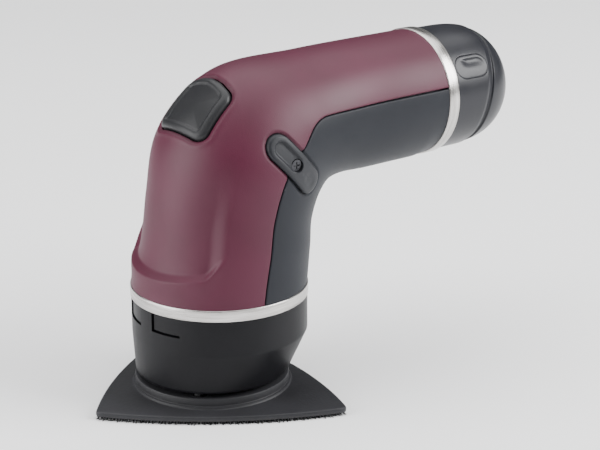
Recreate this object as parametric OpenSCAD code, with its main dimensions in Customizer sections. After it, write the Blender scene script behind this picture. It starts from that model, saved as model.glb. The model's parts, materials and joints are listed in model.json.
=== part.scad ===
// Cordless detail ("mouse") sander, in millimetres.
// +X points to the rear, where the handle and its battery pack are. +Z is up.
// The origin is the middle of the sanding face, under the pad bearing.

/* [Sanding pad] */
// Distance from the pad's centre to its front tip
pad_tip_x = 50.5; // [46:0.5:54]
// Distance from the pad's centre back to its two rear corners
pad_rear_x = 23; // [20:0.5:26]
// Half of the distance between the two rear corners
pad_rear_y = 51.4; // [48:0.2:54]
// Bulge of each long side of the pad
pad_side_bulge = 6.2; // [4:0.1:8]
// Bulge of the rear edge of the pad
pad_rear_bulge = 9.1; // [6:0.1:11]
// Thickness of the hook face
hook_t = 1.2; // [1:0.1:1.5]
// Top of the plate, above the sanding face
plate_top_z = 3.2; // [3:0.1:3.6]
// Radius of the round boss on the plate
boss_r = 28.3; // [27.5:0.1:28.5]
// Top of the boss, above the sanding face
boss_top_z = 7; // [6.6:0.1:7.2]
// Crank radius of the orbit: the pad moves in circles of twice this size
orbit_r = 0.8; // [0.6:0.1:1]

/* [Head] */
// Radius of the steel ring under the head
head_ring_r = 33; // [32.6:0.1:33.5]
// Radial depth of the steel rings
ring_depth = 2.6; // [2.2:0.1:3]
// Centre of the head ring, measured from the pad's centre
head_x = 3.25; // [3:0.05:3.5]
// Lower edge of the head ring
head_ring_z = 36.8; // [36.6:0.1:37]
// Height of the head ring
head_ring_h = 4.3; // [4:0.1:4.5]
// Underside of the collar
collar_z = 8.6; // [8.4:0.1:9]
// Height at which the collar starts to narrow towards the pad
collar_break_z = 21; // [19:0.5:23]

/* [Handle] */
// Height of the handle's centre line
handle_z = 98.6; // [98.4:0.1:98.8]
// Front face of the steel ring on the handle
handle_ring_x = 93; // [92:0.5:94]
// Width of the handle ring
handle_ring_w = 4.9; // [4.5:0.1:5.2]
// Outer radius of the handle ring
handle_ring_r = 24.4; // [24.2:0.1:24.6]
// Wall thickness of both shells
wall = 2; // [1.8:0.1:2.2]
// Gap left between the two shells at the seam, as an angle
seam_gap = 0.4; // [0.2:0.1:0.8]

/* [Battery pack] */
// Radius of the battery cap
cap_r = 23.6; // [23.4:0.1:23.8]
// Length of the battery cap
cap_l = 35.5; // [34:0.5:37]
// Length of the cap's straight part
cap_straight = 7; // [6:0.5:9]
// Diameter of one battery cell
cell_d = 18.3; // [18:0.1:18.4]
// Length of one battery cell
cell_l = 65; // [64:0.5:66]

/* [Motor] */
// Radius of the motor can
motor_r = 16.8; // [16:0.1:17]
// Length of the motor can
motor_l = 35.2; // [34:0.1:35.5]
// Radius of the motor shaft
shaft_r = 2.5; // [2:0.1:2.5]

/* [Hidden] */
$fn = 96;

// A small cut past a face, and the clearance of a running fit
eps = 0.02;
fit = 0.02;
// The motor turns about this axis. The pad's bearing is one crank radius away from it.
drive_x = -orbit_r;
head_top_z = head_ring_z + head_ring_h;

// Outline of the elbow-shaped body, seen from the side: front and top line, then
// rear and lower line, and half of the body's width at each of these places.
front_line = [
    [-29.4, head_top_z], [-23.2, 59], [-20.4, 77], [-13.5, 101.5], [8, 118.9],
    [44, 121.8], [handle_ring_x, handle_z + 24]
];
rear_line = [
    [35.9, head_top_z], [36.3, 54], [37.3, 63], [41, 71.2], [48, 73.8],
    [64, 74.2], [handle_ring_x, handle_z - 24]
];
half_width = [32.4, 31.6, 30.5, 30.7, 27.6, 24.6, 24];

// Angle of the seam from the front line, low on the head and out on the handle
seam_head = 87;
seam_handle = 76;
stations = 34;
arc_steps = 22;

// Power button: middle of its pocket on the elbow and the tilt of its face
button_at = [-4.4, 0, 106.4];
button_tilt = -41.5;
button_rise = 1.7;
button_gap = 0.35;

// Side clips: middle, tilt, length and width of the pill shape
clip_at = [16.4, 89.2];
clip_tilt = 48;
clip_l = 27.5;
clip_w = 9.8;
clip_gap = 0.25;
clip_depth = 1.2;
clip_rise = 1;
clip_screw_r = 2.1;
clip_shank_r = 1.2;
clip_head_h = 0.9;
clip_head_y = -29.2;

// Heights inside the collar, from the pad upwards
bearing_z = 5.2;
bearing_h = 7;
bearing_bore_r = 4;
bearing_r = 11;
race_r = 7.8;
ball_r = 1.9;
hub_r = 14;
hub_top_z = bearing_z + bearing_h + 0.2;
crank_z = 14;
counterweight_r = 21;
fan_r = 21;
fan_z = 24.4;
plate_z = 33.5;
collar_bore_r = 26;
collar_cavity_r = 29.5;
foot_r = 1.6;
foot_circle_r = 23.6;
foot_angles = [45, 135, 225, 315];

sleeve_r = 20.7;
sleeve_wall = 0.8;
sleeve_x = 50.5;
cap_x = handle_ring_x + handle_ring_w;
release_x = cap_x + 9;
release_angle = 30;
board_x = 14;
board_z = 90;
board_t = 1.6;

// ---- curves ----

// Point k of a list, with one more point past each end
function past_end(p, k) =
    k < 0 ? 2 * p[0] - p[1] :
    k >= len(p) ? 2 * p[len(p) - 1] - p[len(p) - 2] :
    p[k];

// Smooth curve through a list of points, for u from 0 to 1
function curve(p, u) =
    let (
        s = min(u * (len(p) - 1), len(p) - 1.000001),
        i = floor(s),
        t = s - i,
        a = past_end(p, i - 1),
        b = past_end(p, i),
        c = past_end(p, i + 1),
        d = past_end(p, i + 2)
    )
    0.5 * (2 * b + (c - a) * t + (2 * a - 5 * b + 4 * c - d) * t * t + (3 * b - a - 3 * c + d) * t * t * t);

function smooth_step(t) = let (k = max(0, min(1, t))) k * k * (3 - 2 * k);
function seam_angle(u) = seam_head + (seam_handle - seam_head) * smooth_step((u - 0.6) / 0.14);

// Point of the body's skin at station u and angle a, moved outwards by g
function skin_point(u, a, g) =
    let (
        top = curve(front_line, u),
        low = curve(rear_line, u),
        mid = (top + low) / 2,
        reach = top - mid,
        k = 1 + g / norm(reach),
        across = curve(half_width, u) + g
    )
    [
        mid[0] + reach[0] * k * cos(a),
        -across * sin(a),
        mid[1] + reach[1] * k * cos(a)
    ];

// First and last angle of a piece of skin at station u
function skin_arc(piece, u) =
    piece == "upper" ? [seam_gap / 2 - seam_angle(u), seam_angle(u) - seam_gap / 2] :
    piece == "lower" ? [seam_angle(u) + seam_gap / 2, 360 - seam_angle(u) - seam_gap / 2] :
    [45, 130];

// Closed solid between two offsets of the skin
module skin(piece, u0, u1, g_in, g_out, along, around) {
    loop = 2 * (around + 1);
    points = [
        for (i = [0:along])
            let (u = u0 + (u1 - u0) * i / along, arc = skin_arc(piece, u))
            for (j = [0:loop - 1])
                let (
                    k = j <= around ? j : loop - 1 - j,
                    a = arc[0] + (arc[1] - arc[0]) * k / around
                )
                skin_point(u, a, j <= around ? g_out : g_in)
    ];
    sides = [
        for (i = [0:along - 1])
            for (j = [0:loop - 1])
                let (a = i * loop + j, b = i * loop + (j + 1) % loop)
                each [[a, a + loop, b], [b, a + loop, b + loop]]
    ];
    ends = [
        for (j = [0:around - 1])
            let (a = j, b = j + 1, c = loop - 2 - j, d = loop - 1 - j, e = along * loop)
            each [[a, b, c], [a, c, d], [e + a, e + c, e + b], [e + a, e + d, e + c]]
    ];
    polyhedron(points, concat(sides, ends), convexity = 6);
}

// Round tube along a list of points, as one closed solid
module swept_tube(path, r, sides) {
    last = len(path) - 1;
    points = [
        for (i = [0:last])
            let (
                t = path[min(i + 1, last)] - path[max(i - 1, 0)],
                n = t / norm(t),
                ref = abs(n[2]) < 0.8 ? [0, 0, 1] : [1, 0, 0],
                p = cross(n, ref) / norm(cross(n, ref)),
                q = cross(n, p)
            )
            for (j = [0:sides - 1])
                path[i] + r * (p * cos(360 * j / sides) + q * sin(360 * j / sides))
    ];
    walls = [
        for (i = [0:last - 1])
            for (j = [0:sides - 1])
                let (a = i * sides + j, b = i * sides + (j + 1) % sides)
                each [[a, b, a + sides], [b, b + sides, a + sides]]
    ];
    first_end = [[for (j = [0:sides - 1]) sides - 1 - j]];
    last_end = [[for (j = [0:sides - 1]) last * sides + j]];
    polyhedron(points, concat(walls, first_end, last_end), convexity = 8);
}

// ---- shared shapes ----

module disc(r, z0, z1, x = 0) {
    translate([x, 0, z0]) cylinder(r = r, h = z1 - z0);
}

module ring(r_out, r_in, z0, z1, x = 0) {
    difference() {
        disc(r_out, z0, z1, x);
        disc(r_in, z0 - 1, z1 + 1, x);
    }
}

// Cylinder along X at the handle's centre line
module rod_x(r, x0, x1, z = handle_z, y = 0) {
    translate([x0, y, z]) rotate([0, 90, 0]) cylinder(r = r, h = x1 - x0);
}

// Places children in the power button's own frame, with its face as the XY plane
module in_button_frame() {
    translate(button_at) rotate([0, button_tilt, 0]) children();
}

// Outline of the power button: nearly square, with rounder corners at the top
module button_outline(grow = 0) {
    hull() {
        for (side = [-1, 1]) {
            translate([-7.2, side * 9.2]) circle(r = 4 + grow, $fn = 48);
            translate([5.8, side * 7.4]) circle(r = 5.4 + grow, $fn = 48);
        }
    }
}

// Pill-shaped prism through the body's left side
module clip_prism(grow = 0) {
    half = clip_l / 2 - clip_w / 2;
    translate([clip_at[0], -20, clip_at[1]]) rotate([0, clip_tilt, 0]) rotate([90, 0, 0])
        hull() {
            for (side = [-1, 1])
                translate([side * half, 0, 0]) cylinder(r = clip_w / 2 + grow, h = 20, $fn = 40);
        }
}

// Pocket for one side clip, with the hole for its screw
module clip_pocket() {
    intersection() {
        clip_prism(clip_gap);
        skin("side", 0.4, 0.75, -clip_depth - 0.15, 4, 14, 12);
    }
    translate([clip_at[0], -20, clip_at[1]]) rotate([90, 0, 0])
        cylinder(r = clip_shank_r + 0.15, h = 20, $fn = 24);
}

// Screw with a domed head and a cross recess, its head's face at the origin, pointing down
module cross_screw(head_r, head_h, shank_r, shank_l) {
    difference() {
        translate([0, 0, -head_h]) cylinder(r = head_r, h = head_h);
        for (turn = [0, 90])
            rotate([0, 0, turn]) translate([-head_r * 0.6, -head_r * 0.11, -head_h * 0.6])
                cube([head_r * 1.2, head_r * 0.22, head_h]);
    }
    translate([0, 0, -head_h - shank_l]) cylinder(r = shank_r, h = shank_l + eps);
}

// ---- body ----

module shell_cuts() {
    in_button_frame() translate([0, 0, -14]) linear_extrude(22) button_outline(button_gap);
    clip_pocket();
    mirror([0, 1, 0]) clip_pocket();
}

module upper_shell() {
    color([0.45, 0.20, 0.27]) resize([0, 0, 0]) difference() {
        skin("upper", 0, 1, -wall, 0, stations, arc_steps);
        shell_cuts();
    }
}

module lower_shell() {
    color([0.22, 0.23, 0.26]) resize([0, 0, 0]) difference() {
        skin("lower", 0, 1, -wall, 0, stations, arc_steps);
        shell_cuts();
    }
}

module head_ring() {
    color([0.80, 0.79, 0.77])
        ring(head_ring_r, head_ring_r - ring_depth, head_ring_z, head_top_z, head_x);
}

module handle_ring() {
    color([0.80, 0.79, 0.77]) difference() {
        rod_x(handle_ring_r, handle_ring_x, cap_x);
        rod_x(handle_ring_r - ring_depth, handle_ring_x - 1, cap_x + 1);
    }
}

// Two shallow windows side by side at the front of the collar, just under the ring
module collar_windows() {
    window_w = 13;
    window_h = 7;
    for (side = [-1, 1])
        translate([head_x, 0, head_ring_z - window_h]) rotate([0, 0, side * 17])
            translate([-head_ring_r - 3, -window_w / 2, 0]) cube([5.6, window_w, window_h + 1]);
}

module collar() {
    color([0.10, 0.10, 0.11]) resize([0, 0, 0]) difference() {
        hull() {
            translate([0, 0, collar_z]) cylinder(r = boss_r - 0.3, h = 0.5, $fn = 72);
            translate([head_x, 0, collar_break_z]) cylinder(r = head_ring_r - 0.3, h = 0.5, $fn = 72);
            translate([head_x, 0, head_ring_z - 0.5]) cylinder(r = head_ring_r - 0.3, h = 0.5, $fn = 72);
        }
        disc(collar_bore_r, collar_z - 1, collar_break_z + 1);
        disc(collar_cavity_r, collar_break_z, head_ring_z + 1, head_x);
        collar_windows();
    }
}

module side_clip() {
    resize([0, 0, 0]) difference() {
        intersection() {
            clip_prism();
            skin("side", 0.4, 0.75, -clip_depth, clip_rise, 14, 12);
        }
        translate([clip_at[0], -20, clip_at[1]]) rotate([90, 0, 0])
            cylinder(r = clip_screw_r + 0.3, h = 20, $fn = 32);
    }
}

module side_clip_left() {
    color([0.20, 0.21, 0.23]) side_clip();
}

module side_clip_right() {
    color([0.20, 0.21, 0.23]) mirror([0, 1, 0]) side_clip();
}

module clip_screws() {
    color([0.55, 0.55, 0.56])
        for (side = [0, 1])
            mirror([0, side, 0]) translate([clip_at[0], clip_head_y - clip_head_h, clip_at[1]])
                rotate([90, 0, 0]) cross_screw(clip_screw_r, clip_head_h, clip_shank_r, 4);
}

// ---- power switch ----

module power_button() {
    crown_r = 31;
    color([0.07, 0.07, 0.08]) in_button_frame() difference() {
        intersection() {
            union() {
                translate([0, 0, -7]) linear_extrude(10) button_outline();
                translate([0, 0, -8.2]) linear_extrude(1.2 + eps) button_outline(1.4);
            }
            translate([-20, 0, button_rise - crown_r]) rotate([0, 90, 0]) cylinder(r = crown_r, h = 40);
        }
        translate([0, 0, button_rise + 26.6]) sphere(r = 28);
        translate([0, 0, -9]) cylinder(r = 5.5, h = 6);
    }
}

module button_spring() {
    turns = 3.5;
    steps = 56;
    coil = [
        for (i = [0:steps])
            [4 * cos(360 * turns * i / steps), 4 * sin(360 * turns * i / steps), 4.6 * i / steps]
    ];
    color([0.65, 0.65, 0.66]) in_button_frame() translate([0, 0, -10.4]) swept_tube(coil, 0.35, 8);
}

module switch_module() {
    color([0.12, 0.12, 0.13]) in_button_frame() {
        translate([-7, -5, -19]) cube([14, 10, 8.2]);
        translate([0, 0, -11]) cylinder(r = 2, h = 0.9);
    }
}

// ---- motor ----

module motor_plate() {
    color([0.30, 0.31, 0.33]) difference() {
        disc(collar_cavity_r - 0.05, plate_z, head_ring_z, head_x);
        disc(6, plate_z - 1, head_ring_z + 1, drive_x);
        for (side = [-1, 1])
            translate([drive_x, side * 10, plate_z - 1]) cylinder(r = 1.7, h = 6);
        for (turn = [60, 180, 300])
            translate([head_x, 0, 0]) rotate([0, 0, turn]) translate([26.6, 0, plate_z - 1])
                cylinder(r = 1.5, h = 6);
    }
}

module motor_can() {
    color([0.62, 0.63, 0.65]) difference() {
        union() {
            disc(motor_r, head_ring_z, head_ring_z + motor_l, drive_x);
            disc(5.9, head_ring_z - 1.9, head_ring_z + eps, drive_x);
        }
        disc(motor_r - 1.2, head_ring_z + 1.6, head_ring_z + motor_l + 1, drive_x);
        disc(5, head_ring_z - 3, head_ring_z + 3, drive_x);
        for (side = [-1, 1])
            translate([drive_x, side * 10, head_ring_z - 1]) cylinder(r = 1.3, h = 4);
    }
}

// Steel sleeve round the can, which carries the magnets' flux
module flux_ring() {
    color([0.55, 0.56, 0.58]) ring(motor_r + 2.3, motor_r + 0.05, head_top_z - 2, 62.5, drive_x);
}

module magnets() {
    color([0.25, 0.25, 0.26]) difference() {
        ring(motor_r - 1.2, 13.2, 42, 66, drive_x);
        translate([drive_x - 20, -4, 41]) cube([40, 8, 26]);
    }
}

module motor_end_cap() {
    base_z = head_ring_z + motor_l;
    color([0.85, 0.84, 0.80]) difference() {
        union() {
            disc(motor_r, base_z, base_z + 3.4, drive_x);
            disc(7, base_z, base_z + 6.4, drive_x);
        }
        disc(5, base_z - 1, base_z + 8, drive_x);
    }
}

module brushes() {
    color([0.18, 0.18, 0.19])
        for (turn = [0, 180])
            translate([drive_x, 0, 0]) rotate([0, 0, turn]) difference() {
                translate([3.4, -1.5, 68.8]) cube([6, 3, 2.6]);
                disc(4.2, 68, 72);
            }
}

module motor_bushings() {
    color([0.72, 0.55, 0.30]) {
        ring(5, shaft_r + fit, 35, 39, drive_x);
        ring(5, shaft_r + fit, 73, 77.5, drive_x);
    }
}

module motor_screws() {
    color([0.55, 0.55, 0.56])
        for (side = [-1, 1])
            translate([drive_x, side * 10, plate_z - 1.6]) mirror([0, 0, 1])
                cross_screw(2.6, 1.6, 1.25, 5);
}

module collar_screws() {
    color([0.55, 0.55, 0.56])
        for (turn = [60, 180, 300])
            translate([head_x, 0, 0]) rotate([0, 0, turn]) translate([26.6, 0, head_ring_z + 1.4])
                cross_screw(2.4, 1.4, 1.2, 5);
}

module motor_shaft() {
    color([0.75, 0.76, 0.78]) disc(shaft_r, crank_z + 2, 78, drive_x);
}

module armature_core() {
    color([0.45, 0.46, 0.48]) difference() {
        disc(12.7, 44, 64, drive_x);
        disc(shaft_r + fit, 43, 65, drive_x);
        for (i = [0:4])
            translate([drive_x, 0, 43]) rotate([0, 0, 72 * i]) {
                translate([9, 0, 0]) cylinder(r = 2.2, h = 22);
                translate([9, -0.7, 0]) cube([5, 1.4, 22]);
            }
    }
}

module windings() {
    color([0.72, 0.40, 0.20])
        for (z = [40.4, 64.1])
            translate([drive_x, 0, z]) rotate_extrude()
                polygon([[4.6, 0], [11, 0], [11.8, 0.8], [11.8, 2.6], [11, 3.4], [4.6, 3.4]]);
}

module commutator() {
    color([0.75, 0.48, 0.28]) ring(4.1, shaft_r + fit, 67.7, 71.8, drive_x);
}

module fan() {
    color([0.16, 0.17, 0.19]) {
        ring(5.5, shaft_r + fit, fan_z, fan_z + 5.6, drive_x);
        ring(fan_r, shaft_r + fit, fan_z + 5.6 - eps, fan_z + 7, drive_x);
        for (i = [0:8])
            translate([drive_x, 0, fan_z]) rotate([0, 0, 40 * i]) translate([5.2, -0.6, 0])
                cube([fan_r - 6, 1.2, 5.7]);
    }
}

module eccentric() {
    color([0.50, 0.51, 0.53]) difference() {
        union() {
            disc(8, crank_z, crank_z + 9, drive_x);
            intersection() {
                disc(counterweight_r, crank_z + 1, crank_z + 9, drive_x);
                translate([-30, -18, crank_z]) cube([30 + drive_x, 36, 10]);
            }
            disc(bearing_bore_r - fit, bearing_z, crank_z + eps);
        }
        disc(shaft_r + fit, crank_z + 2, crank_z + 10, drive_x);
        disc(1.6, bearing_z - 1, crank_z - 1);
    }
}

module pad_washer() {
    color([0.70, 0.71, 0.72]) ring(5.4, 2.1, bearing_z - 0.8, bearing_z);
}

module pad_screw() {
    color([0.45, 0.45, 0.46]) translate([0, 0, bearing_z - 3]) mirror([0, 0, 1])
        cross_screw(3.4, 2.2, 1.55, 8);
}

// ---- pad bearing ----

module race_groove() {
    translate([0, 0, bearing_z + bearing_h / 2]) rotate_extrude()
        translate([race_r, 0]) circle(r = ball_r + 0.15, $fn = 48);
}

module bearing_inner() {
    color([0.78, 0.79, 0.80]) difference() {
        ring(6.3, bearing_bore_r, bearing_z, bearing_z + bearing_h);
        race_groove();
    }
}

module bearing_outer() {
    color([0.78, 0.79, 0.80]) difference() {
        ring(bearing_r - fit, 9.3, bearing_z, bearing_z + bearing_h);
        race_groove();
    }
}

module bearing_balls() {
    color([0.85, 0.86, 0.87])
        for (i = [0:6])
            rotate([0, 0, i * 360 / 7]) translate([race_r, 0, bearing_z + bearing_h / 2])
                sphere(r = ball_r);
}

// ---- sanding pad ----

// Circle whose edge runs from a to b with the given bulge, on the side away from the origin
module bulged_side(a, b, bulge) {
    mid = (a + b) / 2;
    half = norm(b - a) / 2;
    out = mid / norm(mid);
    normal = [b[1] - a[1], a[0] - b[0]] / (2 * half);
    away = normal * out > 0 ? normal : -normal;
    r = (half * half + bulge * bulge) / (2 * bulge);
    translate(mid - away * (r - bulge)) circle(r = r, $fn = 360);
}

module pad_outline(shrink = 0) {
    tip = [-pad_tip_x, 0];
    left = [pad_rear_x, -pad_rear_y];
    right = [pad_rear_x, pad_rear_y];
    mid_x = (pad_rear_x * pad_rear_x + pad_rear_y * pad_rear_y - pad_tip_x * pad_tip_x)
        / (2 * (pad_rear_x + pad_tip_x));
    corner_cut = 1.3;
    intersection() {
        bulged_side(tip, left, pad_side_bulge);
        bulged_side(tip, right, pad_side_bulge);
        bulged_side(left, right, pad_rear_bulge);
        translate([mid_x, 0]) circle(r = mid_x + pad_tip_x - corner_cut - shrink, $fn = 360);
    }
}

module delta_plate() {
    socket_r = foot_r + orbit_r + 0.4;
    color([0.09, 0.09, 0.10]) difference() {
        union() {
            translate([0, 0, hook_t]) linear_extrude(plate_top_z - hook_t) pad_outline();
            disc(boss_r + 0.8, plate_top_z - eps, plate_top_z + 0.9);
            disc(boss_r, plate_top_z - eps, boss_top_z);
            disc(hub_r, boss_top_z - eps, hub_top_z);
        }
        disc(bearing_r, bearing_z, hub_top_z + 1);
        disc(7, hook_t - 1, bearing_z + eps);
        for (turn = foot_angles)
            rotate([0, 0, turn]) translate([foot_circle_r, 0, plate_top_z])
                cylinder(r = socket_r, h = 10);
    }
}

module hook_face() {
    color([0.05, 0.05, 0.06]) difference() {
        linear_extrude(hook_t) pad_outline(0.3);
        disc(7, -1, hook_t + 1);
    }
}

module dust_seal() {
    color([0.15, 0.15, 0.16]) ring(20, 15.5, boss_top_z, boss_top_z + 1.4);
}

module flexible_feet() {
    color([0.20, 0.20, 0.21])
        for (turn = foot_angles)
            translate([drive_x, 0, 0]) rotate([0, 0, turn]) translate([foot_circle_r, 0, 0]) {
                disc(foot_r, plate_top_z + 1, plate_z);
                disc(foot_r + 0.6, plate_z - 1.2, plate_z);
            }
}

// ---- electronics ----

module circuit_board() {
    color([0.10, 0.30, 0.18]) difference() {
        translate([board_x, -13, board_z]) cube([28, 26, board_t]);
        for (x = [3, 25], side = [-1, 1])
            translate([board_x + x, side * 10, board_z - 1]) cylinder(r = 1.3, h = 4);
    }
}

module board_parts() {
    color([0.15, 0.15, 0.16]) translate([board_x, 0, board_z + board_t]) {
        translate([8, -4, 0]) cube([8, 8, 1.6]);
        for (side = [-1, 1]) {
            translate([19, side * 6 - 2.5, 0]) cube([6, 5, 2.2]);
            translate([6, side * 8.5, 0]) cylinder(r = 2.6, h = 8);
        }
    }
}

// Leads from the pack socket to the board and from the board to the motor
module wires() {
    color([0.65, 0.10, 0.10])
        for (side = [-1, 1]) {
            motor_lead = [
                [18, side * 5, 89.9], [17.6, side * 5, 87], [15, side * 6, 83.5],
                [10, side * 7.5, 81.5], [8.5, side * 8, 79.5], [8.2, side * 8, 75.6]
            ];
            pack_lead = [
                [43.9, side * 6, 86], [42.4, side * 6, 85.8], [40, side * 5.6, 85.4],
                [37.6, side * 5.2, 86], [36.4, side * 5, 87.6], [36, side * 5, 89.9]
            ];
            swept_tube([for (i = [0:20]) curve(motor_lead, i / 20)], 0.8, 10);
            swept_tube([for (i = [0:20]) curve(pack_lead, i / 20)], 0.8, 10);
        }
}

module pack_socket() {
    color([0.12, 0.12, 0.13]) difference() {
        rod_x(19, sleeve_x - 6.5, sleeve_x - 2.5);
        for (y = [-8, 0, 8])
            translate([sleeve_x - 5, y - 0.7, handle_z - 5]) cube([4, 1.4, 10]);
    }
}

// ---- battery pack ----

// Half section of the cap: straight, then rounded like a squashed circle
module cap_profile(r, length, straight) {
    power = 2 / 2.7;
    steps = 28;
    polygon(concat(
        [[0, 0], [r, 0]],
        [for (i = [0:steps])
            let (a = 90 * i / steps)
            [r * pow(cos(a), power), straight + (length - straight) * pow(sin(a), power)]]
    ));
}

module cap_solid(r, length, straight) {
    translate([cap_x, 0, handle_z]) rotate([0, 90, 0]) rotate_extrude() cap_profile(r, length, straight);
}

// Turns a shape on the cap's left side upwards, to where the release buttons are
module at_release_angle() {
    translate([0, 0, handle_z]) rotate([-release_angle, 0, 0]) translate([0, 0, -handle_z]) children();
}

// Prism of a release button, from the cap's side towards its middle
module release_prism(grow, depth) {
    hull() {
        for (x = [-3.4, 3.4])
            translate([release_x + x, -cap_r - 2, handle_z]) rotate([-90, 0, 0])
                cylinder(r = 4.6 + grow, h = depth + 2, $fn = 48);
    }
}

module battery_cap() {
    color([0.06, 0.06, 0.07]) difference() {
        cap_solid(cap_r, cap_l, cap_straight);
        translate([-eps, 0, 0]) cap_solid(cap_r - 2.2, cap_l - 2.5, cap_straight);
        at_release_angle() release_prism(0.25, 6);
        mirror([0, 1, 0]) at_release_angle() release_prism(0.25, 6);
    }
}

module release_button() {
    at_release_angle() difference() {
        intersection() {
            release_prism(0, 3.4);
            rod_x(cap_r - 0.15, cap_x, cap_x + cap_l);
        }
        translate([release_x, -cap_r - 28.4, handle_z]) sphere(r = 29);
    }
}

module release_button_left() {
    color([0.10, 0.10, 0.11]) release_button();
}

module release_button_right() {
    color([0.10, 0.10, 0.11]) mirror([0, 1, 0]) release_button();
}

module release_springs() {
    turns = 3.5;
    steps = 42;
    spring_l = 4;
    coil = [
        for (i = [0:steps])
            [1.5 * cos(360 * turns * i / steps), 1.5 * sin(360 * turns * i / steps), spring_l * i / steps]
    ];
    color([0.65, 0.65, 0.66])
        for (side = [0, 1])
            mirror([0, side, 0]) at_release_angle() translate([release_x, -13.7, handle_z])
                rotate([90, 0, 0]) swept_tube(coil, 0.25, 8);
}

module battery_sleeve() {
    color([0.14, 0.14, 0.15]) difference() {
        rod_x(sleeve_r, sleeve_x, cap_x);
        rod_x(sleeve_r - sleeve_wall, sleeve_x + 1.5, cap_x + 1);
        for (y = [-8, 0, 8])
            translate([sleeve_x - 1, y - 0.6, handle_z - 4]) cube([4, 1.2, 8]);
    }
}

module battery_cells() {
    reach = cell_d / sqrt(3) + 0.05;
    color([0.20, 0.45, 0.35])
        for (turn = [90, 210, 330])
            rod_x(cell_d / 2 - 0.02, sleeve_x + 2.2, sleeve_x + 2.2 + cell_l,
                  handle_z + reach * sin(turn), reach * cos(turn));
}

module pack_terminals() {
    color([0.80, 0.65, 0.30])
        for (y = [-8, 0, 8])
            translate([sleeve_x - 4, y - 0.4, handle_z - 3]) cube([5.5, 0.8, 6]);
}

upper_shell();
lower_shell();
head_ring();
handle_ring();
collar();
side_clip_left();
side_clip_right();
clip_screws();
collar_screws();
power_button();
button_spring();
switch_module();
motor_plate();
motor_can();
flux_ring();
magnets();
motor_end_cap();
brushes();
motor_bushings();
motor_screws();
motor_shaft();
armature_core();
windings();
commutator();
fan();
eccentric();
pad_washer();
pad_screw();
bearing_inner();
bearing_balls();
bearing_outer();
delta_plate();
hook_face();
dust_seal();
flexible_feet();
circuit_board();
board_parts();
wires();
pack_socket();
battery_cap();
battery_sleeve();
battery_cells();
pack_terminals();
release_button_left();
release_button_right();
release_springs();
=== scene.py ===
# %% [markdown]
# # A cordless detail sander
#
# The tool is an elbow: a head that stands on a small triangular pad, and a handle that
# leaves it at a right angle and ends in a battery. Its working parts come from the CAD frame.
# Here the outside is built again as smooth mesh, and every surface gets a finish of its own.

# %% Load the frame
import json
import math

import bmesh
import bpy
import numpy as np
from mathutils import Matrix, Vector
from mathutils.bvhtree import BVHTree

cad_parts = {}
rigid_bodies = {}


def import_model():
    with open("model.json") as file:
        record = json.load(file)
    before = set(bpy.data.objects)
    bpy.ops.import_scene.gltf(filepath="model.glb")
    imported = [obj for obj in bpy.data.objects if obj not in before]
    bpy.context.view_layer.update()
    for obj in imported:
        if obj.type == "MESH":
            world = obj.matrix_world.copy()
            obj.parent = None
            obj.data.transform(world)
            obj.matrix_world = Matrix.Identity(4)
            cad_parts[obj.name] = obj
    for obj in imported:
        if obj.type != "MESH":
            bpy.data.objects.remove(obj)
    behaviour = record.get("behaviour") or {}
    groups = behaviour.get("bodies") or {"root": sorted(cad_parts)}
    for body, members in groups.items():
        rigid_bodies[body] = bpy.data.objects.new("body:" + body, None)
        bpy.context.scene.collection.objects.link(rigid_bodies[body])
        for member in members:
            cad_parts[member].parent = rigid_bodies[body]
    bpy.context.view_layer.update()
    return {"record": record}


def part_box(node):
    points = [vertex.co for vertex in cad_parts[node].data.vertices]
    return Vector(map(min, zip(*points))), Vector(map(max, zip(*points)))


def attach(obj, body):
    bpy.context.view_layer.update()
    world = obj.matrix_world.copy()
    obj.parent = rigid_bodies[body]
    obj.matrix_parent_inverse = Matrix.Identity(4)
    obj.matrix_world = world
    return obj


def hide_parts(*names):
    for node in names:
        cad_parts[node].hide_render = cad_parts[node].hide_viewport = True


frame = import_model()
MM = 0.001

# %% [markdown]
# ## Camera, floor and light
#
# A product shot is made with a long lens, a white sweep and large soft lamps. The camera comes
# first, because every later choice about size and finish is judged through it. Its place is
# worked out from one target point on the tool, a direction and a distance.

# %% Camera
RIGHT_TURN = math.radians(37.46)
LOOK_DOWN = math.radians(18.33)
CAMERA_DISTANCE = 0.648
TARGET_ALONG = 0.03244
TARGET_HEIGHT = 0.0628

camera_right = Vector((math.cos(RIGHT_TURN), -math.sin(RIGHT_TURN), 0))
camera_ahead = Vector((math.sin(RIGHT_TURN), math.cos(RIGHT_TURN), 0))
look = camera_ahead * math.cos(LOOK_DOWN) - Vector((0, 0, 1)) * math.sin(LOOK_DOWN)
target = camera_right * TARGET_ALONG + Vector((0, 0, TARGET_HEIGHT))
camera = bpy.data.objects.new("camera", bpy.data.cameras.new("camera"))
bpy.context.collection.objects.link(camera)
camera.location = target - look * CAMERA_DISTANCE
camera.rotation_euler = look.to_track_quat("-Z", "Y").to_euler()
camera.data.sensor_width = 36
camera.data.lens = 108
bpy.context.scene.camera = camera
print("camera stands at", [round(v, 3) for v in camera.location])


# %% Lamps and sky
def soft_lamp(name, place, aim, width, height, power, tint=(1, 1, 1)):
    lamp = bpy.data.lights.new(name, "AREA")
    lamp.shape = "RECTANGLE"
    lamp.size, lamp.size_y = width, height
    lamp.energy = power
    lamp.color = tint
    holder = bpy.data.objects.new(name, lamp)
    bpy.context.collection.objects.link(holder)
    holder.location = place
    holder.visible_camera = False
    holder.rotation_euler = (Vector(aim) - Vector(place)).to_track_quat("-Z", "Y").to_euler()


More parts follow.
